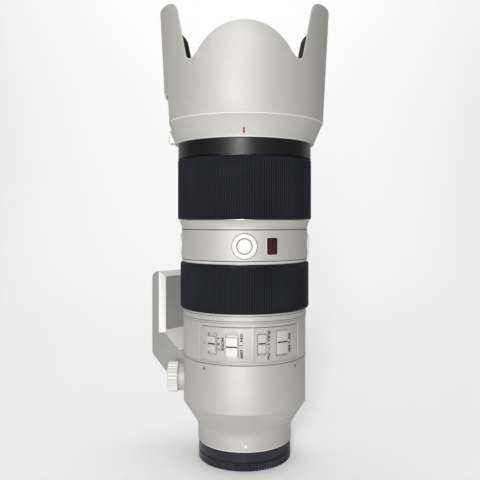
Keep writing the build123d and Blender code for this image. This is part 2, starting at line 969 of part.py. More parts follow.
def tripod_collar():
    """The ring that turns on its seat, with a boss for the foot and one for the knob."""
    boss_low = collar_base + foot_boss_rise
    body = disc(collar_radius, collar_base, collar_top)
    body += radial_block(foot_boss_height, foot_width, seat_radius / 2, foot_boss_reach, foot_angle,
                         boss_low + foot_boss_height / 2)
    body += radial_pin(knob_boss_radius, seat_radius / 2, knob_boss_reach, knob_angle, knob_height)
    body -= disc(seat_radius + slip, collar_base, collar_top)
    body -= radial_pin(knob_shaft_radius + slip, seat_radius, knob_boss_reach + overrun,
                       knob_angle, knob_height)
    body -= radial_pin(knob_pad_radius + slip, seat_radius - overrun, knob_pad_end() + slip,
                       knob_angle, knob_height)
    for side, height in foot_screw_places():
        body -= foot_screw(side, height)
        body -= outward(foot_angle, collar_base + height) * Pos(0, side * foot_screw_spread, 0) * disc(
            foot_screw_head_radius, seat_radius / 2, seat_radius)
    return body


def knob_pad_end():
    return seat_radius + slip + knob_pad_thickness


def collar_knob():
    """The fluted lock knob with its shaft and brake pad."""
    near = knob_boss_reach + pass_gap
    grip = disc(knob_radius, near, near + knob_length)
    rim = grip.edges().group_by(Axis.Z)[-1]
    grip = chamfer(rim, knob_flute_radius)
    for angle in around(knob_flutes):
        grip -= Rot(0, 0, angle) * Pos(knob_radius, 0, near) * Cylinder(
            knob_flute_radius, knob_length, align=SIT)
    shaft = disc(knob_shaft_radius, knob_pad_end() - knob_pad_thickness, near)
    pad = disc(knob_pad_radius, seat_radius + slip, knob_pad_end())
    return outward(knob_angle, knob_height) * (grip + shaft + pad)


def tripod_foot():
    """The foot's slanted arm and its plate, with a tripod socket."""
    arm_low = collar_base + foot_boss_rise
    arm_high = arm_low + foot_boss_height
    corners = [(foot_boss_reach, arm_low), (foot_elbow_reach, foot_elbow_height),
               (foot_outer_reach, foot_heel_height), (foot_outer_reach, foot_top_height),
               (foot_inner_reach, foot_top_height), (foot_inner_reach, foot_crotch_height),
               (foot_boss_reach, arm_high)]
    outline = make_face(Polyline(*corners, close=True))
    outer_top = outline.vertices().sort_by_distance((foot_outer_reach, foot_top_height))[0]
    outline = fillet(outer_top, foot_corner)
    heel = outline.vertices().sort_by_distance((foot_outer_reach, foot_heel_height))[0]
    outline = fillet(heel, foot_corner)
    body = extrude(outline, foot_width / 2, both=True)
    bevel_side = foot_bevel * sqrt(2)
    bevel_long = foot_top_height - foot_crotch_height + 2 * overrun
    bevel_middle = (foot_top_height + foot_crotch_height) / 2
    for side in (-1, 1):
        corner = Pos(foot_inner_reach, bevel_middle, side * foot_width / 2) * Rot(0, 45, 0)
        body -= corner * Box(bevel_side, bevel_long, bevel_side)
    top_edge = Pos(foot_inner_reach, foot_top_height, 0) * Rot(0, 0, 45)
    body -= top_edge * Box(bevel_side, bevel_side, foot_width + 2 * overrun)
    socket = Pos(foot_outer_reach, socket_height, 0) * Rot(0, -90, 0) * Cylinder(
        socket_radius, socket_depth, align=SIT)
    body -= socket
    body = foot_plane() * body
    for side, height in foot_screw_places():
        body -= foot_screw(side, height)
    return body


# Hood

def hood_bore_at(rise):
    """The inner radius of the hood's wall at a height above its base."""
    upper_slope = (hood_mouth_radius - hood_ridge_radius) / (hood_length - hood_ridge_height)
    lower_slope = (hood_ridge_radius - hood_base_radius) / (hood_ridge_height - hood_base_height)
    slope = upper_slope if rise > hood_ridge_height else lower_slope
    return hood_ridge_radius - hood_wall + slope * (rise - hood_ridge_height)


def hood_cut():
    """The block that leaves two tall side petals and two rounded ones."""
    edge_x = hood_mouth_radius + overrun
    arc = ThreePointArc((-hood_shoulder_x, hood_shoulder_height), (0, hood_crest_height),
                        (hood_shoulder_x, hood_shoulder_height))
    right = [(hood_shoulder_x, hood_shoulder_height), (hood_notch_x, hood_notch_height),
             (hood_petal_x, hood_petal_height), (hood_mouth_radius, hood_length),
             (edge_x, hood_length), (edge_x, hood_length + overrun)]
    left = [(-across, up) for across, up in reversed(right)]
    outline = make_face(arc + Polyline(*right, *left))
    for across, up, radius in ((hood_notch_x, hood_notch_height, hood_notch_round),
                               (hood_petal_x, hood_petal_height, hood_petal_round)):
        for side in (-1, 1):
            corner = outline.vertices().sort_by_distance((side * across, up))[0]
            outline = fillet(corner, radius)
    return Pos(0, 0, hood_base) * extrude(Plane.XZ * outline, 2 * hood_mouth_radius, both=True)


def hood():
    """The petal hood with its bayonet lugs, filter window, door rails and button pocket."""
    outline = [(hood_fit_bore, 0), (hood_fit_bore, hood_collar_height),
               (hood_bore_at(hood_collar_height), hood_collar_height),
               (hood_ridge_radius - hood_wall, hood_ridge_height),
               (hood_mouth_radius - hood_wall, hood_length), (hood_mouth_radius, hood_length),
               (hood_ridge_radius, hood_ridge_height), (hood_ridge_radius - hood_lip, hood_ridge_height),
               (hood_base_radius, hood_base_height), (hood_base_radius, 0)]
    body = Pos(0, 0, hood_base) * turned(*outline)
    body -= hood_cut()
    lug_low = hood_base + hood_lug_rise
    for angle in around(hood_lug_count):
        body += arc_block(hood_fit_bore + hood_fit_wall / 2, hood_seat_radius - hood_lug_reach,
                          lug_low, lug_low + hood_lug_height, angle, hood_lug_angle)
    window_low = hood_base + window_rise
    body -= arc_block(hood_ridge_radius + hood_mouth_radius, hood_bore_at(0) - hood_wall, window_low,
                      window_low + window_height, window_angle, window_span_angle)
    body += Pos(0, 0, hood_base) * door_rails()
    pocket_floor = release_root - release_travel - pass_gap
    body -= radial_block(release_height + 2 * slip, release_width + 2 * slip, pocket_floor,
                         release_reach + overrun, window_angle, hood_base + release_rise)
    return body


def door_low():
    return window_rise - door_overlap


def door_high():
    return window_rise + window_height + door_overlap


def door_back_at(rise):
    """The inner radius of the door at a height above the hood's base."""
    return hood_bore_at(rise) - seam - door_thickness


def door_rails():
    """The stop over the door's upper edge, and a lip behind each edge that keeps it on the wall."""
    span = window_span_angle + 2 * (door_overlap_angle + door_travel_angle)
    stop_low = door_high() + pass_gap
    stop_high = stop_low + rail_width
    upper_back = door_back_at(window_rise + window_height) - seam
    lower_back = door_back_at(door_low()) - seam
    rails = arc_block(hood_bore_at(stop_low) + hood_wall / 2, upper_back - rail_lip, stop_low, stop_high,
                      window_angle, span)
    rails += arc_block(upper_back, upper_back - rail_lip, window_rise + window_height, stop_high,
                       window_angle, span)
    return rails + arc_block(lower_back, lower_back - rail_lip, hood_collar_height - rail_width,
                             window_rise, window_angle, span)


def hood_door():
    """The sliding door over the filter window, with a thumb grip."""
    heights = [door_low(), hood_ridge_height, door_high()]
    front = [(hood_bore_at(rise) - seam, rise) for rise in heights]
    back = [(door_back_at(rise), rise) for rise in reversed(heights)]
    span = window_span_angle + 2 * door_overlap_angle
    face = make_face(Plane.XZ * Polyline(*front, *back, close=True))
    panel = Rot(0, 0, window_angle - span / 2 - 90) * revolve(face, Axis.Z, span)
    middle = window_rise + window_height / 2
    grip = arc_block(hood_bore_at(middle) + hood_wall - pass_gap, door_back_at(middle) + door_thickness / 2,
                     middle - door_grip_height / 2, middle + door_grip_height / 2,
                     window_angle - window_span_angle / 2 + grip_span_angle / 2 + grip_margin_angle,
                     grip_span_angle)
    return Pos(0, 0, hood_base) * (panel + grip)


def hood_release():
    """The button that frees the hood's bayonet."""
    button = radial_block(release_height, release_width, release_root, release_reach,
                          window_angle, hood_base + release_rise)
    outer_edges = button.edges().group_by(Axis.X)[0]
    return fillet(outer_edges, release_round)


# Rear cap

def rear_cap():
    """The cap on the mount, with the tabs that hook over the mount's claws."""
    high = -seam
    low = high - cap_length
    body = ring(cap_radius, cap_radius - cap_wall, low, high) + disc(cap_radius, low, low + cap_floor)
    line_height = high - cap_upper_length
    body -= ring(cap_radius + overrun, cap_radius - cap_line, line_height - cap_line, line_height)
    hook_bore = claw_radius + seam
    body += ring(hook_bore + cap_ring_wall, hook_bore, low + cap_floor, high - pass_gap)
    tab_low = -claw_drop + seam
    for angle in around(claw_count):
        body += arc_block(hook_bore + cap_ring_wall / 2, spigot_radius + seam, tab_low,
                          tab_low + cap_tab_height, angle, claw_angle)
    return body


def all_pieces():
    """Every separate piece by name."""
    pieces = {
        "mount_flange": mount_flange(), "mount_screws": mount_screws(), "mount_seal": mount_seal(),
        "rear_barrel": rear_barrel(), "baffle_plate": baffle_plate(),
        "contact_block": contact_block(), "contact_pins": contact_pins(), "main_board": main_board(),
        "chassis_tube": chassis_tube(), "collar_seat": collar_seat(),
        "switch_barrel": switch_barrel(), "switch_panel": switch_panel(), "mid_barrel": mid_barrel(),
        "badge_plate": badge_plate(), "front_ring": front_ring(), "front_cell": front_cell(),
        "front_glass": front_glass(), "front_retainer": front_retainer(),
        "guide_rods": guide_rods(), "rear_cell": rear_cell(), "rear_glass": rear_glass(),
        "iris_base": iris_base(), "focus_motor": focus_motor(),
        "focus_sleeve": focus_sleeve(), "focus_rubber": focus_rubber(),
        "zoom_sleeve": zoom_sleeve(), "zoom_rubber": zoom_rubber(), "cam_tube": cam_tube(),
        "variator_cell": variator_cell(), "variator_glass": variator_glass(),
        "focus_cell": focus_cell(), "focus_glass": focus_glass(),
        "shift_frame": shift_frame(), "shift_cell": shift_cell(), "shift_glass": shift_glass(),
        "iris_ring": iris_ring(),
        "tripod_collar": tripod_collar(), "tripod_foot": tripod_foot(),
        "foot_screws": foot_screws(), "collar_knob": collar_knob(),
        "hood": hood(), "hood_door": hood_door(), "hood_release": hood_release(),
        "rear_cap": rear_cap(),
    }
    for index, angle in enumerate(around(blade_count)):
        pieces[f"iris_blade_{index + 1}"] = iris_blade(index, angle)
    for index, angle in enumerate(button_angles):
        pieces[f"hold_button_{index + 1}"] = hold_button(angle)
    for name, angle, middle, wide, slot, travel, end in switch_places():
        pieces[name] = sliding_switch(angle, middle, wide, slot, travel, end)
    return pieces


os.makedirs("parts", exist_ok=True)
for piece_name, piece in all_pieces().items():
    export_step(piece, f"parts/{piece_name}.step")
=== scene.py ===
import json
import math

import bmesh
import bpy
from mathutils import Matrix, Vector


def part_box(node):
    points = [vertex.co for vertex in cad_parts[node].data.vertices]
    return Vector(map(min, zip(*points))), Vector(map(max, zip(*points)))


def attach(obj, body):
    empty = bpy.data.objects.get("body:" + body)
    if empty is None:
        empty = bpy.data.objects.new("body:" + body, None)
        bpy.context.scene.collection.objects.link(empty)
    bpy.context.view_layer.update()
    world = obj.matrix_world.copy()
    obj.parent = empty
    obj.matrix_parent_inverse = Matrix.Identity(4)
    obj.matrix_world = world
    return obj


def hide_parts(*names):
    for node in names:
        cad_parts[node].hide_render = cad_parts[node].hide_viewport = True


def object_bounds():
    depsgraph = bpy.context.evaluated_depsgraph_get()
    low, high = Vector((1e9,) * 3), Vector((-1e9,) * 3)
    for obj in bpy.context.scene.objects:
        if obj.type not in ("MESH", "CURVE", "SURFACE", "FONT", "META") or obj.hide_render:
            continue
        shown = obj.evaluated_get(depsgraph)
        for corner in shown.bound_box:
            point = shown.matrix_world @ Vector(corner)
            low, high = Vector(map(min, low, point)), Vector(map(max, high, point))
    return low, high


# A white telephoto zoom lens standing on its rear cap.
# Metres, Z up the optical axis, the switches face -Y.
# Angles round the barrel are degrees from -Y towards +X.

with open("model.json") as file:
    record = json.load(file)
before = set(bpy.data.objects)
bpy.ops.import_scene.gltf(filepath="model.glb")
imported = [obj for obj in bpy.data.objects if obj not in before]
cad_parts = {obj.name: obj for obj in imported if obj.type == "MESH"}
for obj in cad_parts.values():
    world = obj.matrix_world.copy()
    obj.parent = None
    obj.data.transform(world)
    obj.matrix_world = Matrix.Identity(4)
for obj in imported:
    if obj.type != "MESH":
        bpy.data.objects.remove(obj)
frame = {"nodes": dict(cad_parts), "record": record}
cad_low, cad_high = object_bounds()
nodes = frame["nodes"]
record = frame["record"]
mm = 0.001


# Shader helpers

def new_material(name):
    """A node material with its tree and shader."""
    material = bpy.data.materials.new(name)
    material.use_nodes = True
    tree = material.node_tree
    return material, tree, tree.nodes["Principled BSDF"]


def add_node(tree, kind, **inputs):
    """A shader node with some of its input values set."""
    node = tree.nodes.new(kind)
    for label, value in inputs.items():
        node.inputs[label.replace("_", " ")].default_value = value
    return node


def object_noise(tree, scale, detail=3.0, roughness=0.5, stretch=(1, 1, 1)):
    """Noise fixed to the piece, which may be stretched along an axis."""
    place = tree.nodes.new("ShaderNodeTexCoord")
    mapping = add_node(tree, "ShaderNodeMapping", Scale=stretch)
    noise = add_node(tree, "ShaderNodeTexNoise", Scale=scale, Detail=detail, Roughness=roughness)
    tree.links.new(place.outputs["Object"], mapping.inputs["Vector"])
    tree.links.new(mapping.outputs["Vector"], noise.inputs["Vector"])
    return noise


def ramp_between(tree, source, low, high, colour_a, colour_b):
    """A colour ramp from one colour to another over part of a value's range."""
    ramp = tree.nodes.new("ShaderNodeValToRGB")
    ramp.color_ramp.elements[0].position = low
    ramp.color_ramp.elements[0].color = (*colour_a, 1)
    ramp.color_ramp.elements[1].position = high
    ramp.color_ramp.elements[1].color = (*colour_b, 1)
    tree.links.new(source, ramp.inputs["Fac"])
    return ramp


def map_value(tree, source, low, high, out_low, out_high):
    """Maps part of a value's range to another range."""
    node = add_node(tree, "ShaderNodeMapRange", From_Min=low, From_Max=high, To_Min=out_low,
                    To_Max=out_high)
    tree.links.new(source, node.inputs["Value"])
    return node


def add_bump(tree, shader, height, strength, distance):
    """Bump from a height value."""
    bump = add_node(tree, "ShaderNodeBump", Strength=strength, Distance=distance)
    tree.links.new(height, bump.inputs["Height"])
    tree.links.new(bump.outputs["Normal"], shader.inputs["Normal"])


def shaded(colour, amount):
    """A colour made darker or lighter."""
    return tuple(channel * amount for channel in colour)


def surface(name, colour, roughness, spread=0.04, metallic=0.0, grain=900, bump=0.05,
            depth=0.00005, stretch=(1, 1, 1), rough_spread=0.05, coat=0.0, gloss_level=0.5):
    """A finish with slow colour drift, uneven gloss and a fine grain."""
    material, tree, shader = new_material(name)
    drift = object_noise(tree, scale=18, detail=3)
    ramp = ramp_between(tree, drift.outputs["Fac"], 0.3, 0.7, shaded(colour, 1 - spread),
                        shaded(colour, 1 + spread))
    tree.links.new(ramp.outputs["Color"], shader.inputs["Base Color"])
    smears = object_noise(tree, scale=60, detail=5, roughness=0.6, stretch=stretch)
    smear = map_value(tree, smears.outputs["Fac"], 0.3, 0.7, roughness - rough_spread,
                      roughness + rough_spread)
    tree.links.new(smear.outputs["Result"], shader.inputs["Roughness"])
    shader.inputs["Specular IOR Level"].default_value = gloss_level
    fine = object_noise(tree, scale=grain, detail=2, stretch=stretch)
    add_bump(tree, shader, fine.outputs["Fac"], bump, depth)
    shader.inputs["Metallic"].default_value = metallic
    shader.inputs["Coat Weight"].default_value = coat
    shader.inputs["Coat Roughness"].default_value = 0.15
    return material


def glass_material():
    """Coated optical glass: clear, with a faint green and violet sheen."""
    material, tree, shader = new_material("coated_glass")
    facing = add_node(tree, "ShaderNodeLayerWeight", Blend=0.35)
    tint = ramp_between(tree, facing.outputs["Facing"], 0.1, 0.9, (0.55, 0.75, 0.68),
                        (0.50, 0.42, 0.75))
    tree.links.new(tint.outputs["Color"], shader.inputs["Base Color"])
    smears = object_noise(tree, scale=40, detail=3)
    gloss = map_value(tree, smears.outputs["Fac"], 0.3, 0.7, 0.0, 0.03)
    tree.links.new(gloss.outputs["Result"], shader.inputs["Roughness"])
    shader.inputs["Transmission Weight"].default_value = 0.9
    shader.inputs["IOR"].default_value = 1.52
    return material


def flock_material():
    """The short black velvet that lines the hood."""
    material, tree, shader = new_material("black_flock")
    fuzz = object_noise(tree, scale=2500, detail=4, roughness=0.7)
    ramp = ramp_between(tree, fuzz.outputs["Fac"], 0.35, 0.75, (0.006, 0.006, 0.008),
                        (0.022, 0.022, 0.026))
    tree.links.new(ramp.outputs["Color"], shader.inputs["Base Color"])
    add_bump(tree, shader, fuzz.outputs["Fac"], 0.6, 0.0002)
    shader.inputs["Roughness"].default_value = 1.0
    shader.inputs["Sheen Weight"].default_value = 0.15
    return material


WHITE = (0.440, 0.430, 0.406)
INK = (0.012, 0.012, 0.014)

materials = {
    "white_paint": surface("white_paint", WHITE, 0.60, spread=0.02, metallic=0.35, grain=1400,
                           bump=0.10, depth=0.00004, rough_spread=0.04),
    "hood_plastic": surface("hood_plastic", WHITE, 0.64, spread=0.025, metallic=0.33, grain=1100,
                            bump=0.14, rough_spread=0.04),
    "white_plastic": surface("white_plastic", (0.60, 0.59, 0.565), 0.42, spread=0.02, grain=700,
                             bump=0.04),
    "grip_rubber": surface("grip_rubber", (0.007, 0.007, 0.0125), 0.6, spread=0.25, grain=2000,
                           bump=0.25, depth=0.00008, rough_spread=0.08, gloss_level=0.12),
    "black_metal": surface("black_metal", (0.006, 0.006, 0.007), 0.38, spread=0.2, grain=1800,
                           gloss_level=0.3),
    "black_plastic": surface("black_plastic", (0.012, 0.012, 0.014), 0.6, spread=0.2, grain=1500,
                             bump=0.12),
    "steel": surface("steel", (0.55, 0.54, 0.52), 0.26, spread=0.05, metallic=1.0, grain=500,
                     bump=0.08, stretch=(1, 1, 12)),
    "aluminium": surface("aluminium", (0.52, 0.52, 0.53), 0.34, spread=0.05, metallic=1.0,
                         grain=500, bump=0.06, stretch=(1, 1, 10)),
    "gold": surface("gold", (0.83, 0.60, 0.22), 0.22, spread=0.05, metallic=1.0, bump=0.03),
    "board": surface("board", (0.02, 0.12, 0.05), 0.4, spread=0.25, grain=500, bump=0.1),
    "badge_red": surface("badge_red", (0.032, 0.003, 0.004), 0.25, spread=0.2, bump=0.03,
                         coat=0.3),
    "cap_plastic": surface("cap_plastic", (0.009, 0.009, 0.018), 0.33, spread=0.2, grain=1300,
                           bump=0.08, gloss_level=0.4),
    "magnet": surface("magnet", (0.35, 0.35, 0.37), 0.3, spread=0.08, metallic=1.0, grain=500),
    "seal_rubber": surface("seal_rubber", (0.02, 0.02, 0.02), 0.7, spread=0.2, bump=0.1),
    "optical_glass": glass_material(),
}

# Finishes that only pieces of this scene have
flock = flock_material()
ink = surface("black_ink", INK, 0.5, spread=0.1, grain=1500, bump=0.02)
red_ink = surface("red_ink", (0.30, 0.012, 0.012), 0.45, spread=0.1, grain=1500, bump=0.02)
# Painted shade: a dark grey laid into gaps, grooves and round slots and buttons where shadow
# falls.
painted_gap_shade = surface("seam_shadow", (0.13, 0.125, 0.12), 0.7, spread=0.1, grain=1500, gloss_level=0.2)
slider_plastic = surface("slider_plastic", (0.45, 0.44, 0.41), 0.45, spread=0.02, grain=700,
                         bump=0.04)
# Greyer paint for the foot: partly its own tone, partly painted shade for faces turned away from
# the light.
foot_paint_and_shade = surface("foot_paint_and_shade", (0.335, 0.332, 0.318), 0.58, spread=0.03, metallic=0.3,
                     grain=1400, bump=0.1, depth=0.00004, rough_spread=0.04)
# Bright plastic for painted highlights along edges, bevels and beads.
edge_highlight_plastic = surface("edge_highlight_plastic", (0.72, 0.71, 0.68), 0.5, spread=0.02, grain=1100, bump=0.08)


def dress_cad_nodes():
    """Gives every CAD node the finish of its slot."""
    for entry in record["subparts"]:
        mesh = nodes[entry["node"]].data
        mesh.materials.clear()
        mesh.materials.append(materials[entry["material_slot"]])
        for face in mesh.polygons:
            face.material_index = 0


dress_cad_nodes()


# Mesh helpers. Outlines and places are in millimetres here.

def rows(node):
    """Lowest and highest height of a CAD node and its reach along Y, its radius if it is round."""
    low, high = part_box(node)
    return low.z / mm, high.z / mm, high.y / mm


def outward(angle, height):
    """A frame whose Z points out of the barrel, X points down and Y runs round it."""
    turn = Matrix.Rotation(math.radians(angle - 90), 4, "Z")
    rise = Matrix.Translation((0, 0, height * mm))
    return turn @ rise @ Matrix.Rotation(math.radians(90), 4, "Y")


def on_barrel(radius, turn, height):
    """A point in metres from a radius and height in millimetres and a turn in radians."""
    return radius * math.sin(turn) * mm, -radius * math.cos(turn) * mm, height * mm


def new_mesh(name, verts, faces):
    """A mesh from points in metres and the faces between them."""
    mesh = bpy.data.meshes.new(name)
    mesh.from_pydata(verts, [], faces)
    return mesh


def ring_faces(steps, count):
    """The faces that join closed rings of points, each to the next and the last to the first."""
    faces = []
    for step in range(steps):
        near, far = step * count, (step + 1) % steps * count
        for index in range(count):
            after = (index + 1) % count
            faces.append((near + index, far + index, far + after, near + after))
    return faces


def finish_mesh(mesh, sharp_angle=32):
    """Merges doubled points, turns the faces outward and marks hard edges."""
    work = bmesh.new()
    work.from_mesh(mesh)
    bmesh.ops.remove_doubles(work, verts=work.verts, dist=1e-7)
    bmesh.ops.recalc_face_normals(work, faces=work.faces)
    work.to_mesh(mesh)
    work.free()
    for face in mesh.polygons:
        face.use_smooth = True
    mesh.set_sharp_from_angle(angle=math.radians(sharp_angle))


def add_piece(name, mesh, body, finish, node=None):
    """Puts a mesh in the scene as a piece that rides on a body and may stand for a node.

    The finish is a material, or a list of the materials that the faces are numbered for.
    """
    for material in finish if isinstance(finish, list) else [finish]:
        mesh.materials.append(material)
    piece = bpy.data.objects.new(name, mesh)
    bpy.context.scene.collection.objects.link(piece)
    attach(piece, body)
    if node:
        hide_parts(node)


def turned_mesh(name, outline, steps=192, flute=None, place=None):
    """A closed outline of radius and height turned round Z, then moved to its place.

    The flute rule says how far a point of the outline stands out at one step of the turn.
    """
    verts = []
    for step in range(steps):
        turn = 2 * math.pi * step / steps
        for index, (radius, height) in enumerate(outline):
            reach = radius + (flute(turn, index, step) if flute else 0)
            verts.append(on_barrel(reach, turn, height))
    mesh = new_mesh(name, verts, ring_faces(steps, len(outline)))
    if place:
        mesh.transform(place)
    finish_mesh(mesh)
    return mesh


def eased(outline, ease, steps=3):
    """Rounds the corners of an outline that are listed by index with a radius."""
    result = []
    for index, point in enumerate(outline):
        radius = ease.get(index)
        if not radius:
            result.append(point)
            continue
        here = Vector(point)
        before = (Vector(outline[index - 1]) - here).normalized()
        after = (Vector(outline[(index + 1) % len(outline)]) - here).normalized()
        for step in range(steps + 1):
            share = step / steps
            near = here + before * radius * (1 - share)
            far = here + after * radius * share
            result.append(tuple(near * (1 - share) + far * share))
    return result


def block_mesh(name, side_view, wide, edge, place):
    """A side view of X and Z pushed out along Y both ways, softened, then moved to its place."""
    half = wide / 2
    verts = [(x * mm, y * mm, z * mm) for y in (-half, half) for x, z in side_view]
    count = len(side_view)
    faces = [tuple(range(count)), tuple(range(2 * count - 1, count - 1, -1))]
    for index in range(count):
        after = (index + 1) % count
        faces.append((index, after, count + after, count + index))
    mesh = new_mesh(name, verts, faces)
    soften(mesh, edge)
    mesh.transform(place)
    finish_mesh(mesh)
    return mesh


def soften(mesh, edge, crisp=None):
    """Bevels every sharp edge, but for those that the crisp rule picks."""
    least_angle = math.radians(25)
    work = bmesh.new()
    work.from_mesh(mesh)
    bmesh.ops.remove_doubles(work, verts=work.verts, dist=1e-6)
    bmesh.ops.recalc_face_normals(work, faces=work.faces)
    sharp = [one for one in work.edges
             if len(one.link_faces) == 2 and one.calc_face_angle(0) > least_angle]
    if crisp:
        sharp = [one for one in sharp if not crisp(one)]
    bmesh.ops.bevel(work, geom=sharp, offset=edge * mm, segments=2, profile=0.5,
                    affect="EDGES", clamp_overlap=True)
    work.to_mesh(mesh)
    work.free()


def plain_block(tall, near, far):
    """The side view of a plain block, for block_mesh."""
    return [(-tall / 2, near), (tall / 2, near), (tall / 2, far), (-tall / 2, far)]


def flat_letters(name, words):
    """Letters of Blender's own font as a thin flat mesh, about one unit tall, centred."""
    curve = bpy.data.curves.new(name, "FONT")
    curve.body = words
    curve.size = 1
    curve.align_x = "CENTER"
    curve.align_y = "CENTER"
    curve.extrude = 0.01
    curve.offset = 0.05
    maker = bpy.data.objects.new(name + "_curve", curve)
    bpy.context.scene.collection.objects.link(maker)
    depsgraph = bpy.context.evaluated_depsgraph_get()
    mesh = bpy.data.meshes.new_from_object(maker.evaluated_get(depsgraph))
    bpy.data.objects.remove(maker)
    mesh.name = name
    mesh.materials.clear()
    return mesh


def wrapped_text(name, words, angle, high, low, tall, radius, body, finish):
    """Letters bent onto the barrel, which read downward from one height to another."""
    mesh = flat_letters(name, words)
    along = [vertex.co.x for vertex in mesh.vertices]
    start = min(along)
    stretch = (high - low) / (max(along) - start)
    for vertex in mesh.vertices:
        down, across, out = vertex.co
        turn = math.radians(angle) + across * tall / radius
        vertex.co = on_barrel(radius + out, turn, high - (down - start) * stretch)
    finish_mesh(mesh)
    add_piece(name, mesh, body, finish)


def rounded_outline(wide, tall, corner):
    """The points of a rectangle with rounded corners round the origin."""
    points = []
    steps = 12
    for quarter, (side, level) in enumerate(((1, 1), (-1, 1), (-1, -1), (1, -1))):
        for step in range(steps + 1):
            turn = math.pi / 2 * (quarter + step / steps)
            points.append((side * (wide / 2 - corner) + corner * math.cos(turn),
                           level * (tall / 2 - corner) + corner * math.sin(turn)))
    return points


def wrapped_frame(name, size, line, place, thickness, body, finish):
    """A thin line round a rounded rectangle, bent onto the barrel.

    The size is width, height and corner radius, and the place is radius, angle and height.
    """
    wide, tall, corner = size
    radius, angle, height = place
    inner = rounded_outline(wide, tall, corner)
    outer = rounded_outline(wide + 2 * line, tall + 2 * line, corner + line)
    verts = []
    for near, far in zip(inner, outer):
        for (across, up), rise in ((near, 0), (near, thickness), (far, thickness), (far, 0)):
            turn = math.radians(angle) + across / radius
            verts.append(on_barrel(radius + rise, turn, height + up))
    mesh = new_mesh(name, verts, ring_faces(len(inner), 4))
    finish_mesh(mesh)
    add_piece(name, mesh, body, finish)


def plate_rows(size, thickness, edge, columns):
    """Three levels of a plate's outline: its foot, the start of its soft rim, and its top."""
    wide, tall, corner = size
    spread = [math.sin((-1 + 2 * step / columns) * math.pi / 2) for step in range(columns + 1)]
    levels = []
    for inset, rise in ((0, 0), (0, thickness - edge), (edge, thickness)):
        half = wide / 2 - inset
        points = []
        for share in spread:
            across = share * half
            past = max(0, abs(across) - (half - corner))
            reach = tall / 2 - inset - corner + math.sqrt(max(0, corner ** 2 - past ** 2))
            points.append((across, reach, rise))
        levels.append(points)
    return levels


def plate_faces(columns):
    """The faces of a plate whose levels each have an upper and a lower row of points."""
    faces = []
    count = columns + 1
    for level in range(2):
        here, above = 2 * level * count, 2 * (level + 1) * count
        for index in range(columns):
            for start in (0, count):
                faces.append((here + start + index, here + start + index + 1,
                              above + start + index + 1, above + start + index))
        for index in (0, columns):
            faces.append((here + index, here + count + index, above + count + index,
                          above + index))
    for level in (0, 2):
        base = 2 * level * count
        for index in range(columns):
            faces.append((base + index, base + index + 1, base + count + index + 1,
                          base + count + index))
    return faces


def wrapped_plate(name, size, place, thickness, body, finish, node=None, slope=0.0,
                  edge=0.08):
    """A thin plate with rounded corners and a soft rim, bent onto the barrel or a cone.

    The size is width, height and corner radius, and the place is radius, angle and height.
    """
    radius, angle, height = place
    columns = max(16, round(size[0]))
    verts = []
    for points in plate_rows(size, thickness, edge, columns):
        for sign in (1, -1):
            for across, reach, rise in points:
                turn = math.radians(angle) + across / radius
                up = sign * reach
                verts.append(on_barrel(radius + slope * up + rise, turn, height + up))
    mesh = new_mesh(name, verts, plate_faces(columns))
    finish_mesh(mesh)
    add_piece(name, mesh, body, finish, node)


def paint_faces(mesh, pick):
    """Gives each face the finish whose number the rule picks."""
    for face in mesh.polygons:
        face.material_index = pick(face)


def softened_copy(name, node, body, edges, finish, pick=None):
    """A node's own shape with softened edges, painted by the pick rule if it has several finishes.

    The edges are one size, or a list of sizes, each with a rule for the edges left crisp.
    """
    mesh = nodes[node].data.copy()
    mesh.materials.clear()
    # The normals that came with the node no longer fit once its edges are softened.
    if "custom_normal" in mesh.attributes:
        mesh.attributes.remove(mesh.attributes["custom_normal"])
    for edge, crisp in edges if isinstance(edges, list) else [(edges, None)]:
        soften(mesh, edge, crisp)
    finish_mesh(mesh, sharp_angle=40)
    if pick:
        paint_faces(mesh, pick)
    add_piece(name, mesh, body, finish, node)


# Grips

def ribbed_grip(name, node, body, plain):
    """A rubber band with fine upright ribs between two plain edges."""
    low, high, radius = rows(node)
    bore = radius - 2.0
    edge = 0.7
    crown = 0.1
    ramp = 0.35
    rib_pitch = 1.54
    groove = 0.42
    pattern = [-groove, -groove, -groove * 0.45, 0, 0, 0, 0, -groove * 0.45]
    count = round(2 * math.pi * radius / rib_pitch)
    outline = [(bore, low), (radius - edge, low), (radius - crown, low + edge),
               (radius, low + plain), (radius, low + plain + ramp), (radius, high - plain - ramp),
               (radius, high - plain), (radius - crown, high - edge), (radius - edge, high),
               (bore, high)]
    ribbed_rows = (4, 5)

    def flute(turn, index, step):
        return pattern[step % len(pattern)] if index in ribbed_rows else 0

    mesh = turned_mesh(name, outline, count * len(pattern), flute)
    add_piece(name, mesh, body, materials["grip_rubber"], node)


ribbed_grip("focus_grip", "focus_rubber", "focus_ring", 1.0)
ribbed_grip("zoom_grip", "zoom_rubber", "zoom_ring", 1.5)


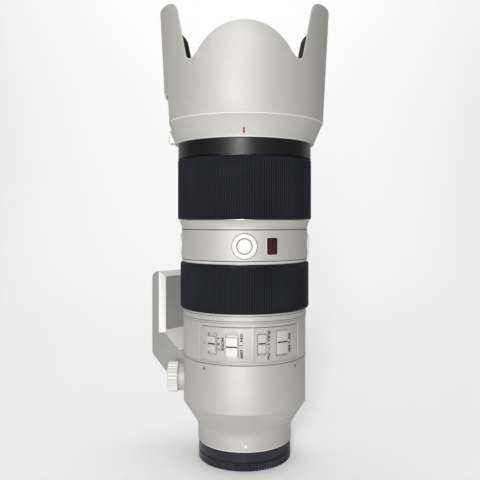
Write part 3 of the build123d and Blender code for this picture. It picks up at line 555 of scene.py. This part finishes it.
def zoom_skirt():
    """The painted lower edge of the zoom ring with two fine grooves, darkened with painted shade.
    """
    low, high, radius = rows("zoom_sleeve")
    grip_low = rows("zoom_rubber")[0]
    bore = 39.3
    lip = 0.3
    line_depth = 0.22
    line_tall = 0.36
    line_slant = 0.1
    lines = (low + 1.0, grip_low - 1.6)
    outline = [(bore, low), (radius - lip, low), (radius, low + lip)]
    for line in lines:
        outline += [(radius, line), (radius - line_depth, line + line_slant),
                    (radius - line_depth, line + line_tall - line_slant),
                    (radius, line + line_tall)]
    outline += [(radius, grip_low - lip), (radius - lip, grip_low), (radius - lip, high),
                (bore, high)]
    mesh = turned_mesh("zoom_skirt", outline)

    # Faces inside the two grooves get painted shade.
    def finish_and_painted_light_of(face):
        height = face.center.z / mm
        return 1 if any(line < height < line + line_tall for line in lines) else 0

    paint_faces(mesh, finish_and_painted_light_of)
    add_piece("zoom_skirt", mesh, "zoom_ring", [materials["white_paint"], painted_gap_shade],
              "zoom_sleeve")


zoom_skirt()


# White band with the buttons

BAND_RADIUS = 41.5
BUTTON_HEIGHT = sum(rows("hold_button_1")[:2]) / 2


def white_band():
    """The band between the grips: a lower bevel in brighter plastic as a painted highlight, two
    grooves darkened with painted shade, and a lined flare.
    """
    low, high, flare = rows("mid_barrel")
    bore = 39.25
    foot_radius = 40.55
    lower = low + 1.6
    upper = high - 6.2
    groove_depth = 0.3
    groove_tall = 0.62
    groove_slant = 0.12
    outline = [(bore, low), (foot_radius, low)]
    for groove in (lower, upper):
        outline += [(BAND_RADIUS, groove), (BAND_RADIUS - groove_depth, groove + groove_slant),
                    (BAND_RADIUS - groove_depth, groove + groove_tall - groove_slant),
                    (BAND_RADIUS, groove + groove_tall)]
    flare_low = upper + 0.7
    flare_high = high - 0.35
    widening = flare - 0.1 - BAND_RADIUS
    steps = 14
    lined_steps = (4, 8, 11)
    for step in range(steps + 1):
        share = step / steps
        height = flare_low + (flare_high - flare_low) * share
        radius = BAND_RADIUS + widening * share ** 2
        outline.append((radius, height))
        if step in lined_steps:
            outline += [(radius - 0.10, height + 0.06), (radius + 0.01, height + 0.14)]
    lip = 0.2
    outline += [(flare, high - lip), (flare - lip, high), (bore, high)]
    mesh = turned_mesh("white_band", outline, 256)

    # Below the lower groove: painted highlight; inside the grooves: painted shade.
    def finish_and_painted_light_of(face):
        height = face.center.z / mm
        if height < lower:
            return 1
        return 2 if any(groove < height < groove + groove_tall for groove in (lower, upper)) else 0

    paint_faces(mesh, finish_and_painted_light_of)
    finishes = [materials["white_paint"], materials["white_plastic"], painted_gap_shade]
    add_piece("white_band", mesh, "barrel", finishes, "mid_barrel")


def hold_button(index, angle):
    """A domed button in a bright raised collar, with a dark line of painted shade round each."""
    place = outward(angle, BUTTON_HEIGHT)
    collar_foot = 39.4
    collar_top = BAND_RADIUS + 0.75
    collar_bore = 4.85
    collar_radius = 7.55
    collar = eased([(collar_bore, collar_foot), (collar_bore, collar_top),
                    (collar_radius, collar_top), (collar_radius + 0.05, collar_foot)],
                   {1: 0.35, 2: 0.5})
    mesh = turned_mesh(f"hold_collar_{index}", collar, 96, None, place)
    add_piece(f"hold_collar_{index}", mesh, "barrel", materials["white_plastic"])
    dome_foot = 40.2
    dome_top = BAND_RADIUS + 1.0
    dome_radius = 4.42
    dome = eased([(0, dome_foot), (dome_radius, dome_foot), (dome_radius, dome_top - 0.2),
                  (3.3, dome_top - 0.06), (0, dome_top)], {2: 0.4})
    mesh = turned_mesh(f"hold_dome_{index}", dome, 96, None, place)
    add_piece(f"hold_dome_{index}", mesh, f"hold_button_{index}", materials["white_plastic"],
              f"hold_button_{index}")
    gap_radius = 4.45
    line = 0.35
    # Painted shade round the collar and in the gap round the dome.
    wrapped_frame(f"hold_outline_shade_{index}", (2 * collar_radius, 2 * collar_radius, collar_radius),
                  line, (BAND_RADIUS - 0.05, angle, BUTTON_HEIGHT), 0.07, "barrel", painted_gap_shade)
    wrapped_frame(f"hold_gap_shade_{index}", (2 * gap_radius, 2 * gap_radius, gap_radius), line,
                  (BAND_RADIUS + 0.2, angle, BUTTON_HEIGHT), 0.1, "barrel", painted_gap_shade)


def badge():
    """The plain dark red plate beside the front button, in a thin bright rim."""
    size = (7.1, 10.4, 1.2)
    angle = 23.9
    wrapped_frame("badge_rim", size, 0.3, (BAND_RADIUS - 0.03, angle, BUTTON_HEIGHT), 0.1,
                  "barrel", materials["white_plastic"])
    wrapped_plate("badge", size, (BAND_RADIUS - 0.65, angle, BUTTON_HEIGHT), 0.8, "barrel",
                  materials["badge_red"], "badge_plate", edge=0.15)


white_band()
for number, button_angle in enumerate((0, 90, -90), 1):
    hold_button(number, button_angle)
badge()


# Switches

PANEL_RADIUS = -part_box("switch_panel")[0].y / mm


def bearing(node):
    """The angle round the barrel of a node's middle."""
    corners = [vertex.co for vertex in nodes[node].data.vertices]
    middle = sum(corners, Vector()) / len(corners)
    return math.degrees(math.atan2(middle.x, -middle.y))


def slot_shade_line(name, angle, wide):
    """A grey line of painted shade round the slot in the panel that a slider moves in."""
    reach = math.degrees(wide / 2 / PANEL_RADIUS) + 0.6
    margin = 0.5
    line = 0.25
    low, high, _ = rows("switch_panel")
    heights = []
    for vertex in nodes["switch_panel"].data.vertices:
        turn = math.degrees(math.atan2(vertex.co.x, -vertex.co.y))
        height = vertex.co.z / mm
        if abs(turn - angle) < reach and low + margin < height < high - margin:
            heights.append(height)
    tall = max(heights) - min(heights)
    middle = (max(heights) + min(heights)) / 2
    wrapped_frame(name + "_edge", (wide + 0.3, tall + 0.1, 0.3), line,
                  (PANEL_RADIUS - 0.02, angle, middle), 0.07, "barrel", painted_gap_shade)


def slider(name, finish):
    """A switch with two raised pads and a black line across the dip between them."""
    low, high, _ = rows(name)
    angle = bearing(name)
    place = outward(angle, (low + high) / 2)
    into = place.inverted()
    corners = [into @ vertex.co / mm for vertex in nodes[name].data.vertices]
    seat = min(corner.z for corner in corners)
    top = max(corner.z for corner in corners)
    step = min(corner.z for corner in corners if corner.z > seat + 0.5)
    pads = [corner for corner in corners if corner.z > top - 0.1]
    wide = 2 * max(corner.y for corner in pads)
    end = max(corner.x for corner in pads)
    dip_mouth = 1.15
    dip_floor = 0.75
    dip = 0.35
    ease = 0.2
    shoulder = top - 0.15
    side_view = [(-end, step), (end, step), (end, shoulder), (end - ease, top), (dip_mouth, top),
                 (dip_floor, top - dip), (-dip_floor, top - dip), (-dip_mouth, top),
                 (ease - end, top), (-end, shoulder)]
    mesh = block_mesh(name + "_knob", side_view, wide, 0.22, place)
    add_piece(name + "_knob", mesh, name, finish, name)
    hidden_length = 3.4
    base_wide = 2 * max(corner.y for corner in corners)
    base_tall = 2 * max(corner.x for corner in corners) + hidden_length
    mesh = block_mesh(name + "_base", plain_block(base_tall, seat, step), base_wide, 0.1, place)
    add_piece(name + "_base", mesh, name, finish)
    slot_shade_line(name, angle, wide)
    line = plain_block(0.8, top - dip - 0.1, top - dip + 0.16)
    mesh = block_mesh(name + "_line", line, wide - 0.5, 0.05, place)
    add_piece(name + "_line", mesh, name, ink)


def panel_labels():
    """Function words printed on the switch panel, and its tick."""
    # Words, angle, upper and lower height, letter height
    labels = {
        "mode_numbers": ("1  2  3", -23.3, 72.1, 64.2, 1.8),
        "mode": ("MODE", -19.4, 72.2, 64.4, 2.0),
        "steady": ("ON  |  OFF", -2.7, 75.1, 60.1, 2.1),
        "range": ("FULL | \u221e-3m", 21.5, 76.4, 58.9, 2.2),
        "focus": ("AF | MF", 43.8, 73.9, 61.6, 2.2),
    }
    for name, (words, angle, high, low, tall) in labels.items():
        wrapped_text("label_" + name, words, angle, high, low, tall, PANEL_RADIUS + 0.03,
                     "barrel", ink)
    wrapped_plate("panel_tick", (0.45, 1.3, 0.05), (PANEL_RADIUS, -38.4, 68.0), 0.03, "barrel",
                  ink, edge=0.01)


def barrel_shade_line(name, height, tall):
    """A thin dark line of painted shade round the switch barrel."""
    radius = 40.3
    root = radius - 0.4
    face = radius + 0.03
    slant = 0.03
    outline = [(root, height), (face, height + slant), (face, height + tall - slant),
               (root, height + tall)]
    mesh = turned_mesh(name, outline, 224)
    add_piece(name, mesh, "barrel", painted_gap_shade)


def panel_gap_shadow():
    """A thin dark strip of painted shadow along the gap at the panel's top edge."""
    low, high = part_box("switch_panel")
    left = math.degrees(math.asin(low.x / mm / PANEL_RADIUS))
    right = math.degrees(math.asin(high.x / mm / PANEL_RADIUS))
    corners = 2.4
    wide = math.radians(right - left) * PANEL_RADIUS - corners
    place = (PANEL_RADIUS - 0.02, (left + right) / 2, high.z / mm - 0.25)
    wrapped_plate("panel_gap_shadow", (wide, 0.7, 0.2), place, 0.10, "barrel", painted_gap_shade,
                  edge=0.02)


for switch in ("mode_switch", "range_switch", "focus_switch"):
    slider(switch, slider_plastic)
slider("steady_switch", materials["white_plastic"])
panel_labels()
softened_copy("panel", "switch_panel", "barrel", 0.1, materials["white_paint"])
softened_copy("switch_shell", "switch_barrel", "barrel", 0.26, materials["white_paint"])
# Painted shade along the collar gap and the panel's lower step.
barrel_shade_line("collar_gap_shade", 55.62, 0.42)
barrel_shade_line("panel_step_shade", 56.85, 0.22)
panel_gap_shadow()


# Painted neck

def neck():
    """The neck and cone, with a soft inner corner, two fine lines, a white dot and a painted
    highlight on the lower bevel.
    """
    low, high, top_radius = rows("rear_barrel")
    neck_radius = 30.7
    bend = 11.1
    flange_bore = 22.0
    flange_low = 2.5
    flange_high = flange_low + 2.0
    neck_bore = 29.2
    seat_radius = 34.4
    seat_low = high - 2.0
    cone_bore = 37.4
    top = high + 0.17
    bevel = 0.8
    slope = (top_radius - neck_radius) / (high - bend)
    outline = [(flange_bore, flange_low), (neck_bore, flange_low), (neck_bore, low),
               (neck_radius - 0.6, low), (neck_radius, low + bevel), (neck_radius, bend)]
    corner = len(outline) - 1
    for line in (14.4, 18.2):
        radius = neck_radius + (line - bend) * slope
        outline += [(radius, line), (radius - 0.09, line + 0.08), (radius - 0.02, line + 0.2)]
    outline += [(top_radius, high), (top_radius, top), (seat_radius, top), (seat_radius, seat_low),
                (cone_bore, seat_low), (neck_bore, bend), (neck_bore, flange_high),
                (flange_bore, flange_high)]
    mesh = turned_mesh("neck", eased(outline, {corner: 3.0}, 8), 224)
    # The lower bevel gets the bright edge plastic as a painted highlight.
    paint_faces(mesh, lambda face: 1 if low < face.center.z / mm < low + bevel else 0)
    add_piece("neck", mesh, "barrel", [materials["white_paint"], edge_highlight_plastic],
              "rear_barrel")
    wrapped_plate("mount_dot", (2.0, 2.0, 0.99), (neck_radius, 1.5, 3.9), 0.04, "barrel",
                  materials["white_plastic"], edge=0.02)


neck()


# Rear cap

def rear_cap():
    """The cap with its groove and the upright ribs of its gripping sides."""
    low, high, radius = rows("rear_cap")
    groove_high = high - 5.8
    groove_low = groove_high - 0.5
    groove_radius = radius - 0.45
    groove_slant = 0.12
    rim = 0.35
    foot = 0.5
    floor = low + 2.0
    bore = radius - 1.6
    outline = [(bore, high), (radius - rim, high), (radius, high - rim), (radius, high - 0.8),
               (radius, groove_high + 0.6), (radius, groove_high + groove_slant),
               (groove_radius, groove_high), (groove_radius, groove_low),
               (radius, groove_low - groove_slant), (radius, groove_low - 0.5),
               (radius, low + 0.9), (radius, low + foot), (radius - foot, low), (0, low),
               (0, floor), (bore, floor)]
    upper_rows = (3, 4)
    lower_rows = (9, 10)
    upper_start, upper_end = 35, 145
    plain_start, plain_end = 200, 346
    rib_count = 96
    pattern = [-0.6, -0.6, -0.2, 0, 0, -0.2]

    def flute(turn, index, step):
        angle = math.degrees(turn)
        upper = index in upper_rows and upper_start < angle < upper_end
        lower = index in lower_rows and not plain_start <= angle <= plain_end
        return pattern[step % len(pattern)] if upper or lower else 0

    mesh = turned_mesh("cap", outline, rib_count * len(pattern), flute)
    add_piece("cap", mesh, "rear_cap", materials["cap_plastic"], "rear_cap")


rear_cap()


# Hood

HOOD_LOW, HOOD_HIGH, _ = rows("hood")
HOOD_FOOT = HOOD_LOW + 0.8
HOOD_RIDGE = HOOD_LOW + 13.2
HOOD_FOOT_RADIUS = 45.8
HOOD_RIDGE_RADIUS = 51.7
HOOD_MOUTH_RADIUS = 55.5
HOOD_SLOPE = 0.4355


def hood_skin(height):
    """The hood's outer radius at a height, below and above the ridge."""
    if height < HOOD_RIDGE:
        return HOOD_FOOT_RADIUS + (height - HOOD_FOOT) * HOOD_SLOPE
    widening = HOOD_MOUTH_RADIUS - HOOD_RIDGE_RADIUS
    return HOOD_RIDGE_RADIUS + (height - HOOD_RIDGE) * widening / (HOOD_HIGH - HOOD_RIDGE)


def hood_paint_and_highlight(face):
    """Paint outside, velvet inside, and bright plastic on the cut edges and their bevels as a
    painted highlight.
    """
    height = face.center.z / mm
    across = Vector((face.center.x, face.center.y))
    facing = across.normalized().dot(Vector(face.normal[:2]))
    depth = hood_skin(height) - across.length / mm
    lined = facing < -0.25 or depth > 1.3
    if lined and height > HOOD_LOW + 0.9:
        return 1
    # Cut edges and bevels above the ridge: painted highlight.
    return 2 if facing < 0.97 and height > HOOD_RIDGE + 1 else 0


def below_ridge(edge):
    """Whether an edge belongs to the hood's base or its ridge."""
    return min(end.co.z for end in edge.verts) < (HOOD_RIDGE + 1) * mm


def above_ridge(edge):
    """Whether an edge belongs to the petals and the wall that carries them."""
    return not below_ridge(edge)


def hood_bead(name, radius, height, thick, gap):
    """A thin bead round the hood in bright plastic as a painted highlight, open over a span of
    degrees at the window.
    """
    window_angle = -90
    outline = []
    steps = 10
    for step in range(steps):
        turn = 2 * math.pi * step / steps
        outline.append((radius + thick * math.cos(turn), height + thick * math.sin(turn)))
    mesh = turned_mesh(name, outline, 224)
    work = bmesh.new()
    work.from_mesh(mesh)
    gone = []
    for face in work.faces:
        place = face.calc_center_median()
        turn = math.degrees(math.atan2(place.x, -place.y))
        if abs(turn - window_angle) < gap / 2:
            gone.append(face)
    bmesh.ops.delete(work, geom=gone, context="FACES")
    bmesh.ops.holes_fill(work, edges=work.edges)
    work.to_mesh(mesh)
    work.free()
    add_piece(name, mesh, "hood", edge_highlight_plastic)


softened_copy("petal_hood", "hood", "hood", [(0.5, below_ridge), (0.15, above_ridge)],
              [materials["hood_plastic"], flock, edge_highlight_plastic], hood_paint_and_highlight)
hood_bead("ridge_bead", 51.42, HOOD_RIDGE + 0.1, 0.32, 52)
hood_bead("hood_foot_bead", 45.55, HOOD_LOW + 0.3, 0.28, 14)
softened_copy("window_door", "hood_door", "hood_door", 0.12, materials["hood_plastic"])
softened_copy("release_button", "hood_release", "hood_release", 0.1, materials["white_plastic"])
wrapped_plate("hood_mark", (1.1, 3.1, 0.2), (47.07, -0.4, HOOD_LOW + 3.6), 0.05, "hood", red_ink,
              slope=HOOD_SLOPE, edge=0.02)


# Collar, foot and knob

COLLAR_LOW = rows("tripod_collar")[0]
COLLAR_RADIUS = 40.2
FOOT_ANGLE = -128


def facing_out(angle):
    """The level direction that points out of the barrel at an angle in degrees."""
    return Vector((math.sin(math.radians(angle)), -math.cos(math.radians(angle)), 0))


def collar_marks():
    """Black marks a quarter turn apart that show which way up the collar is."""
    for number, angle in enumerate((-38, 52, 142, -128), 1):
        wrapped_plate(f"collar_mark_{number}", (1.0, 1.9, 0.1), (COLLAR_RADIUS, angle, 52.4),
                      0.03, "collar", ink, edge=0.01)


def lock_knob():
    """The knob with rounded flutes and a dished end."""
    height = 39.6
    shaft_foot = 38.4
    shaft_radius = 2.45
    near = 43.4
    far = near + 7.2
    radius = 9.9
    dish_radius = 6.2
    dish = 0.4
    outline = [(0, shaft_foot), (shaft_radius, shaft_foot), (shaft_radius, near),
               (radius - 1.1, near), (radius, near + 0.6), (radius, near + 1.1),
               (radius, far - 1.4), (radius, far - 0.9), (radius - 1.0, far), (dish_radius, far),
               (dish_radius - dish, far - dish), (0, far - dish)]
    fluted_rows = (4, 5, 6, 7)
    flute_count = 24
    flute_depth = 1.1
    steps_per_flute = 10

    def flute(turn, index, step):
        wave = 0.5 + 0.5 * math.cos(2 * math.pi * step / steps_per_flute)
        return -flute_depth * wave ** 4 if index in fluted_rows else 0

    mesh = turned_mesh("knob", outline, flute_count * steps_per_flute, flute,
                       outward(-90, height))
    add_piece("knob", mesh, "collar_knob", materials["white_plastic"],
              "collar_knob")


def foot_insert():
    """The steel lip round the tripod socket."""
    height = 78.0
    root = 67.0
    lip = 70.15
    bore = 3.2
    radius = 5.2
    outline = [(bore, root), (bore, lip - 0.15), (bore + 0.2, lip), (radius - 0.2, lip),
               (radius, lip - 0.25), (radius, root)]
    mesh = turned_mesh("foot_insert", outline, 64, None, outward(FOOT_ANGLE, height))
    add_piece("foot_insert", mesh, "collar", materials["steel"])


def foot_shade_and_highlight(face):
    """The foot's paint is greyer than the barrel's, partly as painted shade, with bright plastic
    on the bevels round the inner face as a painted highlight.
    """
    towards_barrel = -face.normal.dot(facing_out(FOOT_ANGLE))
    to_front_side = face.normal.dot(facing_out(FOOT_ANGLE + 90))
    return 1 if towards_barrel > 0.3 and max(to_front_side, face.normal.z) > 0.3 else 0


def collar_rim(edge):
    """Whether an edge is on the collar's lowest rim, which stays crisp."""
    return edge.verts[0].co.z / mm < COLLAR_LOW + 0.1


collar_marks()
lock_knob()
foot_insert()
softened_copy("foot", "tripod_foot", "collar", 0.5, [foot_paint_and_shade, materials["white_plastic"]],
              foot_shade_and_highlight)
softened_copy("collar_ring", "tripod_collar", "collar", [(0.15, collar_rim)],
              materials["white_paint"])


# Front

def filter_threads():
    """Fine thread ridges inside the front ring."""
    radius = 38.45
    top = 199.7
    pitch = 0.75
    depth = 0.42
    count = 7
    outline = [(radius, top - count * pitch), (radius, top)]
    for thread in range(count):
        height = top - thread * pitch
        outline += [(radius - 0.05, height - 0.05), (radius - depth, height - pitch / 2)]
    mesh = turned_mesh("filter_threads", outline, 160)
    add_piece("filter_threads", mesh, "barrel", materials["black_metal"])


filter_threads()


# Stage

def stage_material(name, colour, glow):
    """A matt finish that glows a little, so that the floor's shadows stay soft."""
    material, tree, shader = new_material(name)
    grain = object_noise(tree, scale=3, detail=2)
    ramp = ramp_between(tree, grain.outputs["Fac"], 0.3, 0.7, shaded(colour, 0.995), colour)
    tree.links.new(ramp.outputs["Color"], shader.inputs["Base Color"])
    shader.inputs["Roughness"].default_value = 0.9
    shader.inputs["Emission Color"].default_value = (*colour, 1)
    shader.inputs["Emission Strength"].default_value = glow
    return material


def build_stage():
    """A pale floor that sweeps up behind the object."""
    half_width = 4.0
    front_edge = -4.0
    back_edge = 1.6
    bend = 0.8
    height = 2.4
    floor_z = cad_low.z
    steps = 24
    profile = [(front_edge, floor_z), (back_edge - bend, floor_z)]
    for step in range(1, steps + 1):
        turn = math.pi / 2 * step / steps
        profile.append((back_edge - bend + bend * math.sin(turn),
                        floor_z + bend * (1 - math.cos(turn))))
    profile.append((back_edge, floor_z + height))
    verts = [(side * half_width, y, z) for y, z in profile for side in (-1, 1)]
    faces = [(2 * row, 2 * row + 1, 2 * row + 3, 2 * row + 2) for row in range(len(profile) - 1)]
    mesh = new_mesh("floor", verts, faces)
    mesh.materials.append(stage_material("pale_floor", (0.86, 0.86, 0.86), 0.12))
    for face in mesh.polygons:
        face.use_smooth = True
    floor = bpy.data.objects.new("floor", mesh)
    bpy.context.scene.collection.objects.link(floor)


def area_light(name, place, target, size, power):
    """A soft rectangular light aimed at a point."""
    light = bpy.data.lights.new(name, "AREA")
    light.shape = "RECTANGLE"
    light.size, light.size_y = size
    light.energy = power
    lamp = bpy.data.objects.new(name, light)
    bpy.context.scene.collection.objects.link(lamp)
    lamp.location = place
    aim = Vector(target) - Vector(place)
    lamp.rotation_euler = aim.to_track_quat("-Z", "Y").to_euler()


def build_light():
    """Soft studio lights over a dim white world."""
    world = bpy.data.worlds.new("studio")
    bpy.context.scene.world = world
    world.use_nodes = True
    background = world.node_tree.nodes["Background"]
    background.inputs["Color"].default_value = (1, 1, 1, 1)
    background.inputs["Strength"].default_value = 0.08
    area_light("strip", (-0.16, -1.25, 0.35), (0, 0, 0.14), (0.14, 0.7), 12.5)
    area_light("softbox", (-0.35, -1.25, 0.38), (0, 0, 0.14), (0.6, 0.7), 4.5)
    area_light("top", (0.0, 0.2, 1.5), (0, 0.2, 0), (1.8, 1.6), 10.2)
    area_light("back_wall", (0.0, 0.7, 1.4), (0, 1.6, 0.3), (2.4, 0.5), 9)
    bpy.context.scene.view_settings.view_transform = "Standard"


def build_camera():
    """The photograph's view, from a fit to the curved edges of the barrel."""
    photo_size = 480
    focal_px = 610.4
    axis_px = 244.5
    horizon_px = 221.4
    distance = 0.406
    eye_height = 0.1425
    camera = bpy.data.cameras.new("camera")
    camera.sensor_width = 36
    camera.lens = focal_px / photo_size * camera.sensor_width
    camera.shift_x = (photo_size / 2 - axis_px) / photo_size
    camera.shift_y = (horizon_px - photo_size / 2) / photo_size
    eye = bpy.data.objects.new("camera", camera)
    eye.location = (0, -distance, eye_height)
    eye.rotation_euler = (math.radians(90), 0, 0)
    bpy.context.scene.collection.objects.link(eye)
    bpy.context.scene.camera = eye


build_stage()
build_light()
build_camera()
